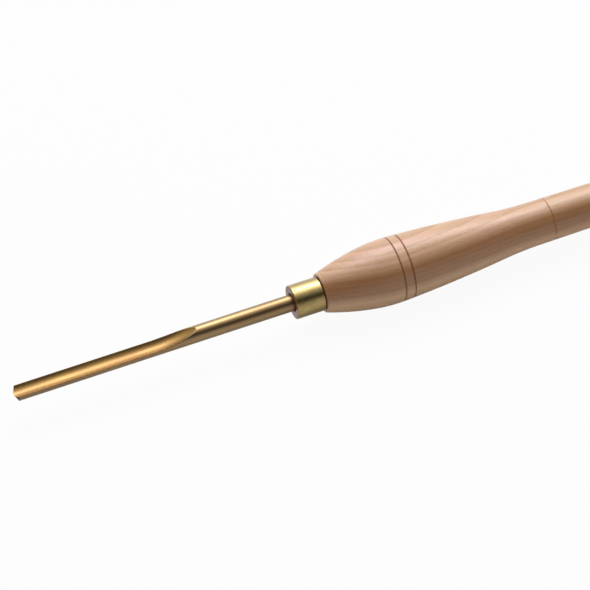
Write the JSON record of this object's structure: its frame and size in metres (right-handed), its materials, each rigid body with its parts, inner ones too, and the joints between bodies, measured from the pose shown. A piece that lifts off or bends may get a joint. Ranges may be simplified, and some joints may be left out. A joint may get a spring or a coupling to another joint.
{
  "type": "spindle gouge",
  "caption": "Woodturning spindle gouge: a round steel blade with a milled flute and a bevelled nose, glued in a turned ash handle with a brass ferrule.",
  "frame": {"origin": "on the bar's axis at the handle's mouth, in the plane of the ferrule's front face", "axes": "+X along the handle towards the butt, +Z out of the flute, which faces up"},
  "size_m": [0.4625, 0.037, 0.037],
  "materials": {
    "coated_steel": "satin, gold nitride coating over fine grinding lines",
    "brass": "turned and polished",
    "ash": "turned, satin clear finish",
    "cured_adhesive": "dull"
  },
  "bodies": {
    "root": {"blade": "coated_steel", "ferrule": "brass", "handle": "ash", "adhesive": "cured_adhesive"}
  },
  "joints": []
}
